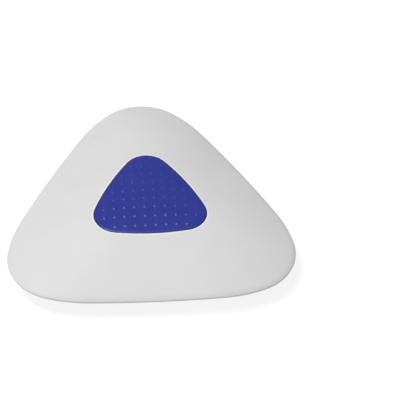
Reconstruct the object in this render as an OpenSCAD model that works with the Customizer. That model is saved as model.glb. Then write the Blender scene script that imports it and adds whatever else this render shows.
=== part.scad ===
// Triangular eraser with a dotted grip let into its domed top and into its underside.
// Millimetres, +Z up, one corner towards +Y, origin on the flat base at the middle of the plan.

/* [Outline] */
// Distance from the triangle's centre to the centre of each corner's round
corner_reach = 20.2; // [18:0.1:25]
// Radius of the three rounded corners
corner_r = 10.5; // [8:0.1:13]
// Turn from a corner's tip to where its round runs into the wider shoulders, in degrees
corner_turn = 40; // [30:1:48]
// Radius of the shoulders between the corners and the sides
shoulder_r = 28; // [20:1:50]
// Radius of the shallow arcs along the three sides
side_r = 240; // [150:5:400]

/* [Profile] */
// Height of the middle of the thin edge above the flat base
rim_h = 5; // [4.6:0.1:7]
// Rise of the domed top above the middle of the edge
crown_rise = 5.7; // [5:0.1:9]
// Radius of the thin rounded edge
edge_r = 0.35; // [0.2:0.05:1.2]
// Radius of the soft roll that leads from each dome into the thin edge
roll_r = 4; // [2:0.5:8]
// Turn of that roll, in degrees
roll_turn = 17; // [5:1:25]
// Width of the flat base round the lower pocket, at the middle of a side
base_margin = 2.2; // [1:0.1:4]

/* [Grips] */
// Distance from the centre to the centre of each grip corner's round
grip_corner_reach = 7.4; // [6:0.1:8.4]
// Radius of the grips' rounded corners
grip_corner_r = 4.6; // [4:0.1:5]
// Radius of the shallow arcs along the grips' sides
grip_side_r = 48; // [30:1:90]
// Play between a grip and the wall of its pocket
grip_play = 0.05; // [0.02:0.01:0.2]
// How far the upper grip stands proud of the domed top
grip_proud = 0.12; // [0.05:0.01:0.3]
// Radius of the soft roll round the grips' faces
grip_edge_r = 1; // [0.5:0.1:2]
// Turn of that roll, in degrees
grip_edge_turn = 28; // [15:1:40]
// Depth of the upper pocket below the crown
top_pocket = 2.4; // [2.2:0.1:3]
// Thickness of the lower grip's plate
bottom_plate = 2; // [1.6:0.1:2.6]

/* [Dots] */
// Spacing of the dots across the grip
dot_pitch_x = 2; // [1.6:0.05:3]
// Spacing of the rows of dots
dot_pitch_y = 2.2; // [1.6:0.05:3]
// Distance from the middle of the grip's base side to the first row of dots
first_row = 1.95; // [1.2:0.05:2.5]
// Least distance from a dot's edge to the grip's outline
dot_margin = 0.5; // [0.3:0.02:1]
// Diameter of a dot
dot_d = 1; // [0.6:0.05:1.2]
// Height of a dot
dot_h = 0.18; // [0.1:0.02:0.3]
// Room between the lower grip's dots and the surface that the eraser lies on
dot_room = 0.1; // [0.05:0.05:0.5]

/* [Fixing] */
// Distance from the centre to each post
post_reach = 6.4; // [5:0.1:7.4]
// Outside diameter of the hollow posts behind the upper grip
post_d = 4.6; // [4:0.1:5.2]
// Play between a post and its hole in the body
post_play = 0.15; // [0.05:0.05:0.3]
// Gap left between a post's end and the lower grip's plate
post_end_gap = 0.2; // [0.1:0.05:0.5]
// Diameter of the pegs on the lower grip
peg_d = 2.6; // [2:0.1:3]
// Length of the pegs
peg_l = 4; // [3:0.1:4.6]
// Play between a peg and the wall of its socket in a post
peg_play = 0.02; // [0.01:0.01:0.05]
// Gap left between a peg's tip and the end of its socket
peg_tip_gap = 0.3; // [0.1:0.05:0.5]
// Chamfer on a peg's tip
peg_chamfer = 0.3; // [0.1:0.05:0.5]

/* [Hidden] */

$fn = 48;
// Points round each outline, a multiple of six so that corners and mid-sides get one
outline_points = 96;
body_angles = [for (i = [0 : outline_points - 1]) i * 360 / outline_points];
// The grips' points lie half a step off the body's
grip_angles = [for (a = body_angles) a + 180 / outline_points];
// Rings of points on the lens's domes, rolls and edge, and how far out its innermost rings lie
dome_rings = 10;
roll_rings = 3;
edge_rings = 5;
under_rings = 7;
inner_share = 0.3;
// How much wider than its dot a dot's foot is all round, so that it meets a sloping face
dot_skirt = 0.1;
// Shares of the way out at which the upper grip's face has a ring
face_shares = [0.2, 0.4, 0.6, 0.8];
// Steps in the roll round the grips' faces
grip_roll_steps = 3;
// Overlap that lets joined shapes merge and cutters pass right through
merge = 0.5;
// Rounds of trial that settle a slope or a depth, and the slope that they start from
trials = 12;
start_slope = 25;

vinyl_white = [0.88, 0.88, 0.87];
grip_blue = [0.22, 0.25, 0.6];

// A triangle's corners lie a third of a turn apart, with one corner towards +Y
corner_spacing = 360 / 3;
corner_angles = [for (i = [0 : 2]) 90 + i * corner_spacing];
// Direction of the middle of the side that faces -Y
base_angle = corner_angles[1] + corner_spacing / 2;
crown_h = rim_h + crown_rise;
top_floor = crown_h - top_pocket;
bottom_face = dot_h + dot_room;
bottom_floor = bottom_face + bottom_plate;
post_end = bottom_floor + post_end_gap;
peg_tip = bottom_floor + peg_l;
socket_end = peg_tip + peg_tip_gap;
dot_sphere_r = (dot_d * dot_d / 4 + dot_h * dot_h) / (2 * dot_h);
// Reach of the flat base towards the middle of a side
base_reach = grip_reach(base_angle, grip_play) + base_margin;
// Depth of the underside's dome below the middle of the edge, had it no flat base
under_depth = under_dome(rim_h);
// Distance along Y from the middle of the plan to the triangle's centre
centre_shift = (body_reach(corner_angles[0]) - body_reach(base_angle)) / 2;

// Angle between a direction and the nearest corner, from 0 to 60
function from_corner(a) =
    let (turn = ((a - corner_angles[0]) % corner_spacing + corner_spacing) % corner_spacing)
    min(turn, corner_spacing - turn);

function toward(a) = [cos(a), sin(a)];

function direction(p) = atan2(p[1], p[0]);

// Distance in direction a from the centre to the far side of a circle of radius r round p
function circle_reach(a, p, r) =
    let (along = p * toward(a))
    along + sqrt(r * r - p * p + along * along);

// Distance from the centre to a rounded triangle's outline in direction a. Each corner's round
// touches a wider shoulder, and that the side's arc, from inside, so the outline has no kinks.
function outline_reach(a, reach, corner, turn, shoulder, side) =
    let (
        t = from_corner(a),
        mid_side = toward(corner_spacing / 2),
        corner_at = [reach, 0],
        corner_end = corner_at + corner * toward(turn),
        shoulder_at = corner_at - (shoulder - corner) * toward(turn),
        along = shoulder_at * mid_side,
        back = sqrt(along * along - shoulder_at * shoulder_at + pow(side - shoulder, 2)) - along,
        side_at = -back * mid_side,
        shoulder_end = shoulder_at + shoulder * toward(direction(shoulder_at - side_at))
    )
    t < direction(corner_end) ? circle_reach(t, corner_at, corner)
    : t < direction(shoulder_end) ? circle_reach(t, shoulder_at, shoulder)
    : circle_reach(t, side_at, side);

function body_reach(a) =
    outline_reach(a, corner_reach, corner_r, corner_turn, shoulder_r, side_r);

// The grips' outline, grown all round by a distance. Their corners have no wider shoulders.
function grip_reach(a, grow = 0) =
    let (corner = grip_corner_r + grow)
    outline_reach(a, grip_corner_reach, corner, 0, corner, grip_side_r + grow);

// Distance out and height over the edge's middle at which a roll starts with the given slope, when
// its far end touches the thin edge at the given reach from inside
function roll_start(reach, slope) = [
    reach - edge_r + roll_r * sin(slope) - (roll_r - edge_r) * sin(slope + roll_turn),
    roll_r * cos(slope) - (roll_r - edge_r) * cos(slope + roll_turn)
];

// Slope at which a dome of the given rise over the edge's middle runs into its roll
function roll_slope(reach, rise, slope = start_slope, left = trials) =
    let (start = roll_start(reach, slope))
    left == 0 ? slope : roll_slope(reach, rise, atan2(2 * (rise - start[1]), start[0]), left - 1);

// Where dome and roll meet: distance out, height over the edge's middle, and slope
function edge_joint(a, rise) =
    let (reach = body_reach(a), slope = roll_slope(reach, rise))
    [each roll_start(reach, slope), slope];

// Distance out and height over the edge's middle after a share of the roll
function roll_point(a, rise, share) =
    let (joint = edge_joint(a, rise), slope = joint[2], turn = slope + share * roll_turn)
    [joint[0], joint[1]] + roll_r * [sin(turn) - sin(slope), cos(turn) - cos(slope)];

// Height of a dome over the edge's middle at distance d in direction a
function dome_h(a, d, rise) =
    let (joint = edge_joint(a, rise))
    rise - (rise - joint[1]) * pow(d / joint[0], 2);

// Height of the domed top, as if it had no pocket
function top_h(a, d) = rim_h + dome_h(a, d, crown_rise);

// Depth of the dome that crosses the base's level at the base's reach
function under_dome(depth, left = trials) =
    let (joint = edge_joint(base_angle, depth), share = pow(base_reach / joint[0], 2))
    left == 0 ? depth : under_dome((rim_h - joint[1] * share) / (1 - share), left - 1);

// Inset from a grip's outline and drop from its face after turn t of the roll round it
function grip_roll(t) = grip_edge_r * [sin(grip_edge_turn) - sin(t), 1 - cos(t)];

function at(a, d, z) = [each d * toward(a), z];

function steps(from, to, count) = [for (i = [0 : count]) from + (to - from) * i / count];

// Places of the dots: rows from the grip's base side up, as far as its outline reaches
dot_places = let (
    base_y = -grip_reach(base_angle),
    columns = ceil((grip_corner_reach + grip_corner_r) / dot_pitch_x),
    rows = floor((grip_reach(corner_angles[0]) - base_y - first_row) / dot_pitch_y)
) [
    for (row = [0 : rows], column = [-columns : columns - 1])
    let (x = (column + 0.5) * dot_pitch_x, y = base_y + first_row + row * dot_pitch_y)
    if (norm([x, y]) <= grip_reach(direction([x, y]), -dot_margin - dot_d / 2)) [x, y]
];

// A solid lofted over rings of points, from a middle point on top down to one underneath
module ring_solid(top, rings, bottom) {
    n = outline_points;
    last = len(rings) - 1;
    points = [top, for (ring = rings) each ring, bottom];
    function id(ring, i) = 1 + ring * n + i % n;
    faces = [
        for (i = [0 : n - 1]) [0, id(0, i + 1), id(0, i)],
        for (k = [0 : last - 1], i = [0 : n - 1]) [id(k, i), id(k, i + 1), id(k + 1, i + 1)],
        for (k = [0 : last - 1], i = [0 : n - 1]) [id(k, i), id(k + 1, i + 1), id(k + 1, i)],
        for (i = [0 : n - 1]) [len(points) - 1, id(last, i), id(last, i + 1)]
    ];
    polyhedron(points, faces, convexity = 6);
}

// Moves the triangle's centre so that the middle of the plan is at the origin
module on_base() {
    translate([0, -centre_shift, 0]) children();
}

// Copies its children at the three posts
module at_posts() {
    for (a = corner_angles) translate(at(a, post_reach, 0)) children();
}

// The grips' outline as a flat shape, grown all round by a distance
module grip_shape(grow) {
    polygon([for (a = grip_angles) grip_reach(a, grow) * toward(a)]);
}

// The body before it is cut: domed top, thin edge with its two rolls, and domed underside
module lens() {
    dome = [
        for (share = steps(inner_share, 1, dome_rings)) [
            for (a = body_angles)
            let (d = share * edge_joint(a, crown_rise)[0])
            at(a, d, top_h(a, d))
        ]
    ];
    upper_roll = [
        for (share = steps(0, 1, roll_rings)) if (share > 0) [
            for (a = body_angles)
            let (p = roll_point(a, crown_rise, share))
            at(a, p[0], rim_h + p[1])
        ]
    ];
    edge = [
        for (share = steps(0, 1, edge_rings + 1)) if (share > 0 && share < 1) [
            for (a = body_angles)
            let (
                upper = edge_joint(a, crown_rise)[2] + roll_turn,
                lower = 180 - edge_joint(a, under_depth)[2] - roll_turn,
                turn = upper + (lower - upper) * share
            )
            at(a, body_reach(a) - edge_r + edge_r * sin(turn), rim_h + edge_r * cos(turn))
        ]
    ];
    lower_roll = [
        for (share = steps(1, 0, roll_rings)) if (share > 0) [
            for (a = body_angles)
            let (p = roll_point(a, under_depth, share))
            at(a, p[0], rim_h - p[1])
        ]
    ];
    under = [
        for (share = steps(1, inner_share, under_rings)) [
            for (a = body_angles)
            let (d = share * edge_joint(a, under_depth)[0])
            at(a, d, rim_h - dome_h(a, d, under_depth))
        ]
    ];
    rings = concat(dome, upper_roll, edge, lower_roll, under);
    ring_solid([0, 0, crown_h], rings, [0, 0, rim_h - under_depth]);
}

// A dot on a face at height 0: the cap of a ball, with its foot sunk in the face
module dot() {
    intersection() {
        translate([0, 0, dot_h - dot_sphere_r]) sphere(dot_sphere_r);
        translate([0, 0, -merge])
            cylinder(h = dot_h + 2 * merge, d = dot_d + 2 * dot_skirt);
    }
}

// Plate of the upper grip: face along the domed top, rolled edge and flat back
module top_plate() {
    function ring(share, inset, drop) = [
        for (a = grip_angles)
        let (d = share * (grip_reach(a) - inset))
        at(a, d, top_h(a, d) + grip_proud - drop)
    ];
    face = [for (share = face_shares) ring(share, grip_roll(0)[0], 0)];
    roll = [
        for (t = steps(0, grip_edge_turn, grip_roll_steps))
        let (p = grip_roll(t))
        ring(1, p[0], p[1])
    ];
    back = [for (a = grip_angles) at(a, grip_reach(a), top_floor)];
    ring_solid([0, 0, crown_h + grip_proud], concat(face, roll, [back]), [0, 0, top_floor]);
}

// Plate of the lower grip: flat back, rolled edge and flat face
module lower_plate() {
    function ring(inset, z) = [for (a = grip_angles) at(a, grip_reach(a) - inset, z)];
    back = ring(0, bottom_floor);
    roll = [
        for (t = steps(grip_edge_turn, 0, grip_roll_steps))
        let (p = grip_roll(t))
        ring(p[0], bottom_face + p[1])
    ];
    ring_solid([0, 0, bottom_floor], concat([back], roll), [0, 0, bottom_face]);
}

// A peg whose root is sunk in the plate and whose tip is chamfered by a cone of 45 degrees
module peg() {
    length = merge + peg_l;
    tip_d = peg_d - 2 * peg_chamfer;
    intersection() {
        cylinder(h = length, d = peg_d);
        cylinder(h = length, d1 = tip_d + 2 * length, d2 = tip_d);
    }
}

module eraser_body() {
    base_cut = under_depth - rim_h + merge;
    color(vinyl_white) on_base() difference() {
        lens();
        // Flat base
        translate([0, 0, -base_cut])
            cylinder(h = base_cut, r = corner_reach + corner_r);
        // Pockets for the two grips
        translate([0, 0, top_floor])
            linear_extrude(top_pocket + merge) grip_shape(grip_play);
        translate([0, 0, -merge])
            linear_extrude(bottom_floor + merge) grip_shape(grip_play);
        // Holes for the posts, through the web between the pockets
        at_posts()
            translate([0, 0, bottom_floor - merge])
                cylinder(h = top_floor - bottom_floor + 2 * merge, d = post_d + 2 * post_play);
    }
}

module top_grip() {
    color(grip_blue) on_base() difference() {
        union() {
            top_plate();
            at_posts()
                translate([0, 0, post_end])
                    cylinder(h = top_floor + merge - post_end, d = post_d);
            for (p = dot_places)
                translate([each p, top_h(direction(p), norm(p)) + grip_proud]) dot();
        }
        // Sockets for the pegs
        at_posts()
            translate([0, 0, post_end - merge])
                cylinder(h = socket_end - post_end + merge, d = peg_d + 2 * peg_play);
    }
}

module bottom_grip() {
    color(grip_blue) on_base() {
        lower_plate();
        at_posts() translate([0, 0, bottom_floor - merge]) peg();
        for (p = dot_places)
            translate([each p, bottom_face]) mirror([0, 0, 1]) dot();
    }
}

eraser_body();
top_grip();
bottom_grip();
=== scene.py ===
import math

import bmesh
import bpy
from mathutils import Matrix, Vector


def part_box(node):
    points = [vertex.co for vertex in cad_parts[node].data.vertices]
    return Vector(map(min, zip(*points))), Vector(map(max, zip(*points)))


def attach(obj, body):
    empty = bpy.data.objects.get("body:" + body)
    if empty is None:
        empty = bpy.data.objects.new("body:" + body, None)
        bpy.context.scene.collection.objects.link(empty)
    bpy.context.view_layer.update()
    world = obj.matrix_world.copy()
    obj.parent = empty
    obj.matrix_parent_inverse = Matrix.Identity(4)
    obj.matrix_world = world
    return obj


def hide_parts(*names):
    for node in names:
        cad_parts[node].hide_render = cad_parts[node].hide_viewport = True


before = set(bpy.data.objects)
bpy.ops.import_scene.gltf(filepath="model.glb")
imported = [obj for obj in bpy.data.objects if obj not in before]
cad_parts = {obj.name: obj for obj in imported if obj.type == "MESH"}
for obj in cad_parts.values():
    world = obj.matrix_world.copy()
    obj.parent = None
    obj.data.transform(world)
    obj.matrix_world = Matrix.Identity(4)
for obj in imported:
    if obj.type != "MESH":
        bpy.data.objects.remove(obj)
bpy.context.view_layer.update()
print("frame loaded:", ", ".join(sorted(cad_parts)))

mm = 0.001               # pieces are modelled in millimetres, then set in place in metres
cornerSpacing = 120      # turn from one corner to the next, in degrees
cornerAngle = 90         # one corner points along +Y
midSideAngle = 270       # and the side across from it faces -Y
cornerAngles = [cornerAngle + i * cornerSpacing for i in range(3)]


# Rounded triangle outlines

def toward(angle):
    return Vector((math.cos(math.radians(angle)), math.sin(math.radians(angle))))


def angleOf(point):
    return math.degrees(math.atan2(point[1], point[0]))


def fromCorner(angle):
    # turn to the nearest corner, at most half the spacing
    turn = (angle - cornerAngle) % cornerSpacing
    return min(turn, cornerSpacing - turn)


def outlineArcs(shape, grow=0):
    # corner, shoulder and side arc, each touching the next from inside, with the angle where it ends
    cornerRadius = shape["cornerRadius"] + grow
    shoulderRadius = shape["shoulderRadius"] + grow
    sideRadius = shape["sideRadius"] + grow
    turned = toward(shape["cornerTurn"])
    midSide = toward(cornerSpacing / 2)
    corner = Vector((shape["cornerReach"], 0))
    shoulder = corner - (shoulderRadius - cornerRadius) * turned
    along = shoulder.dot(midSide)
    back = math.sqrt(along ** 2 - shoulder.dot(shoulder) + (sideRadius - shoulderRadius) ** 2) - along
    side = -back * midSide
    cornerEnd = corner + cornerRadius * turned
    shoulderEnd = shoulder + shoulderRadius * (shoulder - side).normalized()
    return [
        (angleOf(cornerEnd), corner, cornerRadius),
        (angleOf(shoulderEnd), shoulder, shoulderRadius),
        (cornerSpacing / 2, side, sideRadius),
    ]


def reachOf(arcs, angle):
    # distance from the centre to the outline in this direction
    turn = fromCorner(angle)
    centre, radius = next(arc[1:] for arc in arcs if turn <= arc[0])
    along = centre.dot(toward(turn))
    return along + math.sqrt(radius ** 2 - centre.dot(centre) + along ** 2)


# Modelling helpers

def spread(first, last, count):
    return [first + (last - first) * i / count for i in range(count + 1)]


def pickOnly(piece):
    bpy.ops.object.select_all(action="DESELECT")
    piece.select_set(True)
    bpy.context.view_layer.objects.active = piece


def placeRing(piece, ring):
    # each selected point keeps its direction, and takes its distance and height from the ring
    mesh = bmesh.from_edit_mesh(piece.data)
    for point in mesh.verts:
        if point.select:
            angle = angleOf(point.co)
            reach, height = ring(angle)
            point.co = (reach * toward(angle)).to_3d() + Vector((0, 0, height))
    bmesh.update_edit_mesh(piece.data)


def loftRings(name, points, rings):
    # a circle, closed with a face, is extruded from ring to ring and closed again at the last one
    bpy.ops.object.select_all(action="DESELECT")
    bpy.ops.mesh.primitive_circle_add(vertices=points, radius=1, fill_type="NOTHING")
    piece = bpy.context.object
    piece.name = name
    piece.data.name = name
    bpy.ops.object.mode_set(mode="EDIT")
    bpy.ops.mesh.select_mode(type="EDGE")
    bpy.ops.mesh.select_all(action="SELECT")
    placeRing(piece, rings[0])
    bpy.ops.mesh.edge_face_add()
    for ring in rings[1:]:
        bpy.ops.mesh.extrude_edges_indiv()
        placeRing(piece, ring)
    bpy.ops.mesh.edge_face_add()
    bpy.ops.mesh.select_all(action="SELECT")
    bpy.ops.mesh.normals_make_consistent(inside=False)
    bpy.ops.object.mode_set(mode="OBJECT")
    return piece


def copiesOf(original, places, name):
    # one copy with its own mesh at each place, joined to one object in place of the original
    copies = []
    for place in places:
        copy = original.copy()
        copy.data = original.data.copy()
        copy.matrix_world = place
        bpy.context.collection.objects.link(copy)
        copies.append(copy)
    bpy.data.objects.remove(original)
    pickOnly(copies[0])
    for copy in copies:
        copy.select_set(True)
    bpy.ops.object.join()
    joined = bpy.context.object
    joined.name = name
    bpy.ops.object.transform_apply(location=True, rotation=True, scale=True)
    return joined


def combine(piece, tool, operation):
    pickOnly(piece)
    change = piece.modifiers.new(operation.lower(), "BOOLEAN")
    change.operation = operation
    change.solver = "EXACT"
    change.object = tool
    bpy.ops.object.modifier_apply(modifier=change.name)
    bpy.data.objects.remove(tool)


def paintMask(piece, name, maskOf):
    # a mask from 0 to 1 at each point, for the material to read
    mask = piece.data.attributes.new(name, "FLOAT", "POINT")
    for point, value in zip(piece.data.vertices, mask.data):
        value.value = maskOf(point.co)


def settle(piece, node, material, smoothAngle):
    # from millimetres round the centre to metres in the frame, with the place in the mesh
    pickOnly(piece)
    piece.scale = (mm, mm, mm)
    piece.location = (0, centreY, 0)
    bpy.ops.object.transform_apply(location=True, rotation=True, scale=True)
    bpy.ops.object.shade_smooth_by_angle(angle=math.radians(smoothAngle))
    piece.data.materials.clear()
    piece.data.materials.append(material)
    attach(piece, "root")
    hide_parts(node)
    print("made", piece.name, "with", len(piece.data.polygons), "faces")


# Sizes that the pieces share, in millimetres and degrees

grip = {
    "outline": {
        "cornerReach": 7.4,
        "cornerRadius": 4.6,
        "cornerTurn": 0,
        "shoulderRadius": 4.6,
        "sideRadius": 48,
    },
    "play": 0.05,        # between a grip and its pocket
    "proud": 0.12,       # of the domed top
    "edgeRadius": 1,     # soft roll round the face
    "edgeTurn": 28,
    "edgePaintedShade": 0.42,   # width of the painted shade along the edge
    "topPocket": 2.4,    # below the crown
    "bottomFace": 0.28,  # above the surface that the eraser lies on
    "bottomPlate": 2,
    "points": 192,
    "faceRings": 22,
    "rollSteps": 5,
    "smoothAngle": 24,
}

body = {
    "outline": {
        "cornerReach": 20.2,
        "cornerRadius": 10.5,
        "cornerTurn": 40,
        "shoulderRadius": 28,
        "sideRadius": 240,
    },
    "rimHeight": 5,
    "crownRise": 5.7,
    "edgeRadius": 0.35,
    "rollRadius": 4,     # soft roll from each dome into the thin edge
    "rollTurn": 17,
    "baseMargin": 2.2,   # flat base round the lower pocket, at mid-side
    "lipRadius": 0.05,   # soft lip round each pocket
    "lipHighlightLine": 0.31,     # width of the painted highlight line on the upper lip, where the lip catches the light
    "lipFade": 0.12,
    "creaseHalf": 0.4,   # stretch each side of the base's edge that is shaded soft
    "points": 240,
    "domeRings": 18,
    "rollRings": 6,
    "edgeRings": 12,
    "underRings": 10,
    "lipSteps": 5,
    "smoothAngle": 40,
}

posts = {
    "reach": 6.4,
    "diameter": 4.6,
    "holePlay": 0.15,
    "endGap": 0.2,
    "pegDiameter": 2.6,
    "pegLength": 4,
    "pegPlay": 0.02,
    "tipGap": 0.3,
    "chamfer": 0.3,
    "root": 0.5,         # how far posts and pegs start inside their plate, and cutters pass through
    "points": 48,
}

bodyArcs = outlineArcs(body["outline"])
gripArcs = outlineArcs(grip["outline"])
pocketArcs = outlineArcs(grip["outline"], grip["play"])
crownHeight = body["rimHeight"] + body["crownRise"]
topFloor = crownHeight - grip["topPocket"]
bottomFloor = grip["bottomFace"] + grip["bottomPlate"]
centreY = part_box("eraser_body")[1].y - reachOf(bodyArcs, cornerAngle) * mm


# Domes of the top and the underside

trials = 12              # rounds that settle a slope or a depth
startSlope = 25          # degrees, where those rounds begin
rollTurn = math.radians(body["rollTurn"])


def edgeJoint(angle, rise):
    # where a dome of this rise runs into its roll: distance out, height over the rim, slope
    start = reachOf(bodyArcs, angle) - body["edgeRadius"]
    radius = body["rollRadius"]
    inner = radius - body["edgeRadius"]
    slope = math.radians(startSlope)
    for trial in range(trials):
        out = start + radius * math.sin(slope) - inner * math.sin(slope + rollTurn)
        height = radius * math.cos(slope) - inner * math.cos(slope + rollTurn)
        slope = math.atan2(2 * (rise - height), out)
    return out, height, slope


def domeHeight(angle, distance, rise):
    out, height, slope = edgeJoint(angle, rise)
    return rise - (rise - height) * (distance / out) ** 2


def topHeight(angle, distance):
    return body["rimHeight"] + domeHeight(angle, distance, body["crownRise"])


def underDome():
    # depth of the lower dome that leaves the flat base its margin round the pocket
    baseReach = reachOf(pocketArcs, midSideAngle) + body["baseMargin"]
    depth = body["rimHeight"]
    for trial in range(trials):
        out, height, slope = edgeJoint(midSideAngle, depth)
        share = (baseReach / out) ** 2
        depth = (body["rimHeight"] - height * share) / (1 - share)
    return depth


underDepth = underDome()


def baseEdge(angle):
    # distance out to where the lower dome meets the flat base
    out, height, slope = edgeJoint(angle, underDepth)
    return out * math.sqrt((underDepth - body["rimHeight"]) / (underDepth - height))


def underHeight(angle, distance):
    return max(0, body["rimHeight"] - domeHeight(angle, distance, underDepth))


# Materials

def newMaterial(name):
    material = bpy.data.materials.new(name)
    material.use_nodes = True
    nodes = material.node_tree.nodes
    return material, nodes, material.node_tree.links, nodes["Principled BSDF"]


skinDetail = {"Grain": 3, "Cloud": 4}   # octaves of each noise


def mouldSkinGroup():
    # skin of a moulded part: fine grain and soft clouding
    group = bpy.data.node_groups.new("mouldSkin", "ShaderNodeTree")
    start = group.nodes.new("NodeGroupInput")
    end = group.nodes.new("NodeGroupOutput")
    place = group.nodes.new("ShaderNodeTexCoord")
    for name, detail in skinDetail.items():
        group.interface.new_socket(name + " Scale", in_out="INPUT", socket_type="NodeSocketFloat")
        group.interface.new_socket(name, in_out="OUTPUT", socket_type="NodeSocketFloat")
        texture = group.nodes.new("ShaderNodeTexNoise")
        texture.inputs["Detail"].default_value = detail
        group.links.new(place.outputs["Object"], texture.inputs["Vector"])
        group.links.new(start.outputs[name + " Scale"], texture.inputs["Scale"])
        group.links.new(texture.outputs["Fac"], end.inputs[name])
    return group


mouldSkin = mouldSkinGroup()
noiseRange = (0.3, 0.7)     # where nearly all of a noise texture's values lie
slantRange = (0.06, 0.21)   # one less the cosine of 20 and of 38 degrees
mixFirst = 6                # sockets of a Mix node that mixes colours
mixSecond = 7
mixResult = 2


def placeSkin(nodes, look):
    skin = nodes.new("ShaderNodeGroup")
    skin.node_tree = mouldSkin
    skin.inputs["Grain Scale"].default_value = 1 / (look["grain"] * mm)
    skin.inputs["Cloud Scale"].default_value = 1 / (look["cloud"] * mm)
    return skin


def blendColour(nodes, links, mask, first, second):
    # first and second are colours or sockets
    mix = nodes.new("ShaderNodeMix")
    mix.data_type = "RGBA"
    links.new(mask, mix.inputs["Factor"])
    for socket, colour in ((mix.inputs[mixFirst], first), (mix.inputs[mixSecond], second)):
        if isinstance(colour, bpy.types.NodeSocket):
            links.new(colour, socket)
        else:
            socket.default_value = (*colour, 1)
    return mix.outputs[mixResult]


def mapNoise(nodes, links, noise, low, high):
    spreadOut = nodes.new("ShaderNodeMapRange")
    spreadOut.inputs["From Min"].default_value, spreadOut.inputs["From Max"].default_value = noiseRange
    spreadOut.inputs["To Min"].default_value = low
    spreadOut.inputs["To Max"].default_value = high
    links.new(noise, spreadOut.inputs["Value"])
    return spreadOut.outputs["Result"]


def mouldedLook(name, look, maskColours):
    # clouded colour with another one where a mask of the piece is set, and a fine grain
    material, nodes, links, shader = newMaterial(name)
    skin = placeSkin(nodes, look)
    cloud = mapNoise(nodes, links, skin.outputs["Cloud"], 0, 1)
    colour = blendColour(nodes, links, cloud, look["dark"], look["light"])
    for maskName, maskColour in maskColours.items():
        mask = nodes.new("ShaderNodeAttribute")
        mask.attribute_name = maskName
        colour = blendColour(nodes, links, mask.outputs["Fac"], colour, maskColour)
    links.new(colour, shader.inputs["Base Color"])
    rough = mapNoise(nodes, links, skin.outputs["Grain"], *look["roughness"])
    links.new(rough, shader.inputs["Roughness"])
    shader.inputs["Specular IOR Level"].default_value = look["specular"]
    bump = nodes.new("ShaderNodeBump")
    bump.inputs["Strength"].default_value = look["bumpStrength"]
    bump.inputs["Distance"].default_value = look["bumpDepth"] * mm
    links.new(skin.outputs["Grain"], bump.inputs["Height"])
    links.new(bump.outputs["Normal"], shader.inputs["Normal"])
    return material


def addCoat(material, look):
    # a gloss that fades out where the surface is seen at a slant
    nodes = material.node_tree.nodes
    links = material.node_tree.links
    shader = nodes["Principled BSDF"]
    slant = nodes.new("ShaderNodeLayerWeight")
    fade = nodes.new("ShaderNodeMapRange")
    fade.inputs["From Min"].default_value, fade.inputs["From Max"].default_value = slantRange
    fade.inputs["To Min"].default_value = look["coat"]
    fade.inputs["To Max"].default_value = 0
    links.new(slant.outputs["Facing"], fade.inputs["Value"])
    links.new(fade.outputs["Result"], shader.inputs["Coat Weight"])
    shader.inputs["Coat Roughness"].default_value = look["coatRoughness"]


vinylLook = {
    "light": (0.802, 0.802, 0.8),
    "dark": (0.772, 0.772, 0.77),
    # lip: painted highlight, a paler line where the rounded lip round the pad catches the light
    "lip": (0.90, 0.895, 0.86),
    "roughness": (0.52, 0.64),
    "specular": 0.35,
    "grain": 0.16,       # millimetres, as are cloud and bumpDepth
    "cloud": 9,
    "bumpStrength": 0.25,
    "bumpDepth": 0.02,
}
whiteVinyl = mouldedLook("whiteVinyl", vinylLook, {"lipHighlightLine": vinylLook["lip"]})

gripLook = {
    "light": (0.043, 0.0565, 0.342),
    "dark": (0.038, 0.0505, 0.312),
    # painted highlight: a lighter blue on the tops of the dots
    "dotTopHighlight": (0.044, 0.058, 0.37),
    # painted shade: a darker blue along the grip's edge, standing in for the dark gap round the pad
    "edge": (0.027, 0.036, 0.225),
    "roughness": (0.3, 0.36),
    "specular": 0.03,
    "coat": 0.37,        # where the face is seen straight on
    "coatRoughness": 0.33,
    "grain": 0.12,       # millimetres, as are cloud and bumpDepth
    "cloud": 5,
    "bumpStrength": 0.2,
    "bumpDepth": 0.01,
}
# painted highlight on the dots' tops, and painted shade along the grip's edge
gripColours = {"dotRise": gripLook["dotTopHighlight"], "edgePaintedShade": gripLook["edge"]}
blueGripPlastic = mouldedLook("blueGripPlastic", gripLook, gripColours)
addCoat(blueGripPlastic, gripLook)
print("materials made")


# Eraser body

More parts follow.
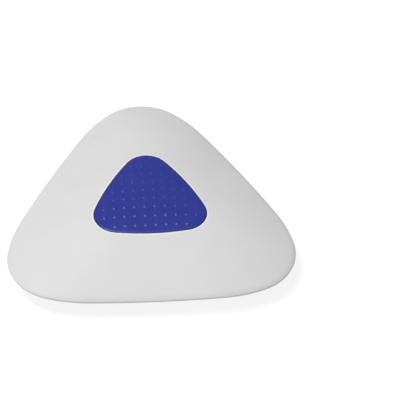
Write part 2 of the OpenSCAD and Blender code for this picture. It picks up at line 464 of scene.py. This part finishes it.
def bodyRings():
    lip = body["lipRadius"]
    line = body["lipHighlightLine"]
    edge = body["edgeRadius"]
    rim = body["rimHeight"]
    rise = body["crownRise"]

    def pocket(angle):
        return reachOf(pocketArcs, angle)

    def baseInner(angle):
        return baseEdge(angle) - body["creaseHalf"]

    def level(reach, height):
        def ring(angle):
            return reach(angle), height
        return ring

    def topLip(turn):
        def ring(angle):
            distance = pocket(angle) + lip * (1 - math.cos(turn))
            return distance, topHeight(angle, distance) - lip * (1 - math.sin(turn))
        return ring

    def lipHighlightLine(width):
        def ring(angle):
            distance = pocket(angle) + width
            return distance, topHeight(angle, distance)
        return ring

    def dome(share):
        def ring(angle):
            first = pocket(angle) + line + body["lipFade"]
            last = edgeJoint(angle, rise)[0]
            distance = first + (last - first) * share
            return distance, topHeight(angle, distance)
        return ring

    def roll(share, domeRise, side):
        # side is +1 for the roll of the top and -1 for that of the underside
        def ring(angle):
            out, height, slope = edgeJoint(angle, domeRise)
            turn = slope + rollTurn * share
            distance = out + body["rollRadius"] * (math.sin(turn) - math.sin(slope))
            drop = body["rollRadius"] * (math.cos(slope) - math.cos(turn))
            return distance, rim + side * (height - drop)
        return ring

    def roundEdge(share):
        def ring(angle):
            upper = edgeJoint(angle, rise)[2] + rollTurn
            lower = math.pi - edgeJoint(angle, underDepth)[2] - rollTurn
            turn = upper + (lower - upper) * share
            return reachOf(bodyArcs, angle) - edge + edge * math.sin(turn), rim + edge * math.cos(turn)
        return ring

    def under(share):
        def ring(angle):
            first = edgeJoint(angle, underDepth)[0]
            last = baseEdge(angle) + body["creaseHalf"]
            distance = first + (last - first) * share
            return distance, underHeight(angle, distance)
        return ring

    def bottomLip(turn):
        def ring(angle):
            return pocket(angle) + lip * (1 - math.sin(turn)), lip * (1 - math.cos(turn))
        return ring

    lipTurns = spread(0, math.pi / 2, body["lipSteps"])
    rings = [level(pocket, topFloor)]
    rings += [topLip(turn) for turn in lipTurns]
    rings += [lipHighlightLine((lip + line) / 2), lipHighlightLine(line)]
    rings += [dome(share) for share in spread(0, 1, body["domeRings"])]
    rings += [roll(share, rise, 1) for share in spread(0, 1, body["rollRings"])[1:]]
    rings += [roundEdge(share) for share in spread(0, 1, body["edgeRings"])[1:]]
    rings += [roll(share, underDepth, -1) for share in spread(1, 0, body["rollRings"])[1:]]
    rings += [under(share) for share in spread(0, 1, body["underRings"])[1:]]
    rings += [level(baseEdge, 0), level(baseInner, 0)]
    rings += [bottomLip(turn) for turn in lipTurns]
    rings += [level(pocket, bottomFloor)]
    return rings


def postPlaces():
    return [Matrix.Translation((posts["reach"] * toward(angle)).to_3d()) for angle in cornerAngles]


def chamferTop(rod, chamfer):
    endNormal = 0.5      # an end face's normal points up by more than this
    bpy.ops.object.mode_set(mode="EDIT")
    bpy.ops.mesh.select_mode(type="FACE")
    bpy.ops.mesh.select_all(action="DESELECT")
    mesh = bmesh.from_edit_mesh(rod.data)
    for face in mesh.faces:
        face.select_set(face.normal.z > endNormal)
    bmesh.update_edit_mesh(rod.data)
    bpy.ops.mesh.bevel(offset=chamfer, segments=1)
    bpy.ops.object.mode_set(mode="OBJECT")


def rods(name, diameter, low, high, chamfer=0):
    # a rod at each post's place, with a chamfer on its upper end where one is given
    bpy.ops.object.select_all(action="DESELECT")
    bpy.ops.mesh.primitive_cylinder_add(
        vertices=posts["points"], radius=diameter / 2, depth=high - low, location=(0, 0, (low + high) / 2)
    )
    rod = bpy.context.object
    bpy.ops.object.transform_apply(location=True, rotation=True, scale=True)
    if chamfer:
        chamferTop(rod, chamfer)
    return copiesOf(rod, postPlaces(), name)


def lipMask(point):
    # 1 on the upper lip, fading to 0 past the painted highlight line
    if point.z < body["rimHeight"]:
        return 0
    past = math.hypot(point.x, point.y) - reachOf(pocketArcs, angleOf(point))
    return min(1, max(0, (body["lipHighlightLine"] + body["lipFade"] - past) / body["lipFade"]))


def makeBody():
    piece = loftRings("eraserBody", body["points"], bodyRings())
    holeDiameter = posts["diameter"] + 2 * posts["holePlay"]
    holes = rods("postHoles", holeDiameter, bottomFloor - posts["root"], topFloor + posts["root"])
    combine(piece, holes, "DIFFERENCE")
    paintMask(piece, "lipHighlightLine", lipMask)
    settle(piece, "eraser_body", whiteVinyl, body["smoothAngle"])


makeBody()


# Grips

dot = {
    "pitchX": 2,
    "pitchY": 2.2,
    "firstRow": 1.95,    # from the middle of the base side
    "margin": 0.42,      # from a dot's edge to the outline
    "diameter": 1.15,
    "height": 0.18,
    "shares": (0.2, 0.4, 0.6, 0.78, 0.93),   # of the radius, from the top to just above the face
    "rootDrop": 0.35,    # how far its foot starts inside the grip
    "points": 12,
}


def dotPlaces():
    # rows from the base side up, as far as the outline reaches
    inner = outlineArcs(grip["outline"], -dot["margin"] - dot["diameter"] / 2)
    baseY = -reachOf(gripArcs, midSideAngle)
    columns = math.ceil((grip["outline"]["cornerReach"] + grip["outline"]["cornerRadius"]) / dot["pitchX"])
    rows = math.floor((reachOf(gripArcs, cornerAngle) - baseY - dot["firstRow"]) / dot["pitchY"])
    places = []
    for row in range(rows + 1):
        for column in range(-columns, columns):
            place = Vector(((column + 0.5) * dot["pitchX"], baseY + dot["firstRow"] + row * dot["pitchY"]))
            if place.length <= reachOf(inner, angleOf(place)):
                places.append(place)
    return places


def makeDot():
    # a soft bump that runs out flat at its foot, with a root sunk in the face
    def roundRing(radius, height):
        def ring(angle):
            return radius, height
        return ring

    radii = [share * dot["diameter"] / 2 for share in dot["shares"]]
    heights = [dot["height"] * (1 - share ** 2) ** 2 for share in dot["shares"]]
    rings = [roundRing(radius, height) for radius, height in zip(radii, heights)]
    rings.append(roundRing(radii[-1], -dot["rootDrop"]))
    return loftRings("dot", dot["points"], rings)


def topFace(place):
    return topHeight(angleOf(place), place.length) + grip["proud"]


def bottomFace(place):
    return grip["bottomFace"]


def standOn(place, heightOf):
    # stands a dot upright on the face at this place
    step = 0.01          # millimetres to each side, for the slope
    right = Vector((step, 0))
    ahead = Vector((0, step))
    slopeX = (heightOf(place + right) - heightOf(place - right)) / (2 * step)
    slopeY = (heightOf(place + ahead) - heightOf(place - ahead)) / (2 * step)
    upright = Vector((-slopeX, -slopeY, 1)).to_track_quat("Z", "Y").to_matrix().to_4x4()
    return Matrix.Translation((*place, heightOf(place))) @ upright


def gripRings(heightOf, down, backHeight):
    # face, rolled edge, wall and back of a grip; down is +1 where the edge rolls down and -1 where up
    edge = grip["edgeRadius"]
    lastTurn = math.radians(grip["edgeTurn"])

    def face(share, turn):
        def ring(angle):
            inset = edge * (math.sin(lastTurn) - math.sin(turn))
            distance = share * (reachOf(gripArcs, angle) - inset)
            return distance, heightOf(distance * toward(angle)) - down * edge * (1 - math.cos(turn))
        return ring

    def back(angle):
        return reachOf(gripArcs, angle), backHeight

    rings = [face(share, 0) for share in spread(0, 1, grip["faceRings"])[1:]]
    rings += [face(1, turn) for turn in spread(0, lastTurn, grip["rollSteps"])[1:]]
    return rings + [back]


def riseMask(heightOf, down):
    # 1 on the tops of the dots and 0 between them, where the painted highlight goes
    places = dotPlaces()

    def maskOf(point):
        place = point.to_2d()
        if min((place - other).length for other in places) > dot["diameter"]:
            return 0
        return min(1, max(0, down * (point.z - heightOf(place)) / dot["height"]))
    return maskOf


def edgeMask(point):
    # 1 on the outline, fading to 0 inside the painted shade along the edge
    inset = reachOf(gripArcs, angleOf(point)) - math.hypot(point.x, point.y)
    return min(1, max(0, 1 - inset / grip["edgePaintedShade"]))


def makeTopGrip():
    piece = loftRings("topGrip", grip["points"], gripRings(topFace, 1, topFloor))
    dots = copiesOf(makeDot(), [standOn(place, topFace) for place in dotPlaces()], "topDots")
    combine(piece, dots, "UNION")
    postEnd = bottomFloor + posts["endGap"]
    combine(piece, rods("posts", posts["diameter"], postEnd, topFloor + posts["root"]), "UNION")
    socketEnd = bottomFloor + posts["pegLength"] + posts["tipGap"]
    socketDiameter = posts["pegDiameter"] + 2 * posts["pegPlay"]
    combine(piece, rods("sockets", socketDiameter, postEnd - posts["root"], socketEnd), "DIFFERENCE")
    paintMask(piece, "dotRise", riseMask(topFace, 1))
    paintMask(piece, "edgePaintedShade", edgeMask)
    settle(piece, "top_grip", blueGripPlastic, grip["smoothAngle"])


def makeBottomGrip():
    piece = loftRings("bottomGrip", grip["points"], gripRings(bottomFace, -1, bottomFloor))
    turnedOver = Matrix.Rotation(math.pi, 4, "X")
    places = [standOn(place, bottomFace) @ turnedOver for place in dotPlaces()]
    combine(piece, copiesOf(makeDot(), places, "bottomDots"), "UNION")
    pegTip = bottomFloor + posts["pegLength"]
    pegs = rods("pegs", posts["pegDiameter"], bottomFloor - posts["root"], pegTip, posts["chamfer"])
    combine(piece, pegs, "UNION")
    paintMask(piece, "dotRise", riseMask(bottomFace, -1))
    paintMask(piece, "edgePaintedShade", edgeMask)
    settle(piece, "bottom_grip", blueGripPlastic, grip["smoothAngle"])


makeTopGrip()
makeBottomGrip()


# Floor, light and camera

studio = {
    "floorSize": 8,          # metres, as are the other sizes here
    "floorDrop": 0.00005,    # below the base, so that the two don't share a plane
    "floorBounce": 0.8,      # how pale the floor is to the light that it throws back
    "floorShadowed": 0.25,   # how much of the light on the floor shows, and a shadow can take
    "floorLight": 0.8,       # light on the open floor, where 1 is white
    "floorWhite": 1.04,      # what the open floor adds up to, just over white
    "floorFade": (0.06, 0.12),   # from the middle, over which it turns plain white
    "ambient": 0.17,         # light from all round, where 1 is white
    "keyToward": (-0.305, -0.1, 0.93),   # from the eraser to the lamp
    "keyDistance": 0.6,
    "keyAlong": (-0.53, 0.66, -0.28),    # the lamp's long way
    "keySize": (0.36, 0.14),
    "keyPower": 2.71,        # watts
}


def seenRays(nodes, links):
    # 1 for rays that show the background itself: straight from the camera, in gloss or through glass
    path = nodes.new("ShaderNodeLightPath")
    seen = path.outputs["Is Camera Ray"]
    for ray in ("Is Glossy Ray", "Is Transmission Ray"):
        either = nodes.new("ShaderNodeMath")
        either.operation = "MAXIMUM"
        links.new(seen, either.inputs[0])
        links.new(path.outputs[ray], either.inputs[1])
        seen = either.outputs[0]
    return seen


def paleDiffuse(nodes, level):
    diffuse = nodes.new("ShaderNodeBsdfDiffuse")
    diffuse.inputs["Color"].default_value = (level, level, level, 1)
    return diffuse.outputs["BSDF"]


def mixShaders(nodes, links, share, first, second):
    mix = nodes.new("ShaderNodeMixShader")
    links.new(share, mix.inputs["Fac"])
    links.new(first, mix.inputs[1])
    links.new(second, mix.inputs[2])
    return mix.outputs["Shader"]


def shadowedWhite(nodes, links):
    # a white that a shadow can darken a little
    white = nodes.new("ShaderNodeEmission")
    fromLight = studio["floorLight"] * studio["floorShadowed"]
    white.inputs["Strength"].default_value = studio["floorWhite"] - fromLight
    both = nodes.new("ShaderNodeAddShader")
    links.new(paleDiffuse(nodes, studio["floorShadowed"]), both.inputs[0])
    links.new(white.outputs["Emission"], both.inputs[1])
    return both.outputs["Shader"]


def farFromMiddle(nodes, links):
    # 0 round the eraser and 1 further out
    place = nodes.new("ShaderNodeTexCoord")
    distance = nodes.new("ShaderNodeVectorMath")
    distance.operation = "LENGTH"
    links.new(place.outputs["Object"], distance.inputs[0])
    fade = nodes.new("ShaderNodeMapRange")
    fade.inputs["From Min"].default_value, fade.inputs["From Max"].default_value = studio["floorFade"]
    links.new(distance.outputs["Value"], fade.inputs["Value"])
    return fade.outputs["Result"]


def paleFloor():
    # white with a soft shadow to the camera, and a pale matt surface to the light that it throws back
    material = bpy.data.materials.new("paleFloor")
    material.use_nodes = True
    nodes = material.node_tree.nodes
    links = material.node_tree.links
    nodes.clear()
    plain = nodes.new("ShaderNodeEmission").outputs["Emission"]
    shadowed = shadowedWhite(nodes, links)
    shown = mixShaders(nodes, links, farFromMiddle(nodes, links), shadowed, plain)
    bounce = paleDiffuse(nodes, studio["floorBounce"])
    surface = mixShaders(nodes, links, seenRays(nodes, links), bounce, shown)
    output = nodes.new("ShaderNodeOutputMaterial")
    links.new(surface, output.inputs["Surface"])
    return material


def makeFloor():
    bpy.ops.object.select_all(action="DESELECT")
    bpy.ops.mesh.primitive_plane_add(size=studio["floorSize"], location=(0, 0, -studio["floorDrop"]))
    floor = bpy.context.object
    floor.name = "floor"
    floor.data.materials.append(paleFloor())


def makeWorld():
    world = bpy.data.worlds.new("studioWorld")
    bpy.context.scene.world = world
    world.use_nodes = True
    nodes = world.node_tree.nodes
    links = world.node_tree.links
    background = nodes["Background"]
    background.inputs["Color"].default_value = (1, 1, 1, 1)
    level = nodes.new("ShaderNodeMapRange")
    level.inputs["To Min"].default_value = studio["ambient"]
    level.inputs["To Max"].default_value = 1
    links.new(seenRays(nodes, links), level.inputs["Value"])
    links.new(level.outputs["Result"], background.inputs["Strength"])


def makeKey():
    # a long oval lamp, high over the eraser and a little to its left
    toKey = Vector(studio["keyToward"]).normalized()
    bpy.ops.object.light_add(type="AREA", location=toKey * studio["keyDistance"])
    key = bpy.context.object
    key.name = "keyLamp"
    across = toKey.cross(Vector(studio["keyAlong"])).normalized()
    key.rotation_euler = Matrix((across.cross(toKey), across, toKey)).transposed().to_euler()
    key.data.shape = "ELLIPSE"
    key.data.size, key.data.size_y = studio["keySize"]
    key.data.energy = studio["keyPower"]


shot = {
    "azimuth": -6.75,        # degrees round from the front, minus to the left
    "elevation": 47.07,
    "roll": 2.85,
    "distance": 408.2,       # millimetres from the triangle's centre at rim height
    "moveRight": 10.1,       # millimetres across the view, as is moveUp
    "moveUp": 3.23,
    "lens": 186.4,
    "sensor": 36,
    "clip": (0.01, 20),      # metres
}


def makeCamera():
    azimuth = math.radians(shot["azimuth"])
    elevation = math.radians(shot["elevation"])
    roll = math.radians(shot["roll"])
    flat = math.cos(elevation)
    back = Vector((math.sin(azimuth) * flat, -math.cos(azimuth) * flat, math.sin(elevation)))
    levelRight = Vector((math.cos(azimuth), math.sin(azimuth), 0))
    levelUp = back.cross(levelRight)
    right = math.cos(roll) * levelRight + math.sin(roll) * levelUp
    up = back.cross(right)
    centre = Vector((0, centreY, body["rimHeight"] * mm))
    move = shot["distance"] * back + shot["moveRight"] * right + shot["moveUp"] * up
    bpy.ops.object.camera_add(location=centre + move * mm)
    camera = bpy.context.object
    camera.name = "camera"
    camera.rotation_euler = Matrix((right, up, back)).transposed().to_euler()
    camera.data.sensor_width = shot["sensor"]
    camera.data.lens = shot["lens"]
    camera.data.clip_start, camera.data.clip_end = shot["clip"]
    bpy.context.scene.camera = camera


makeFloor()
makeWorld()
makeKey()
makeCamera()
bpy.context.scene.view_settings.view_transform = "Standard"
print("floor, light and camera set")
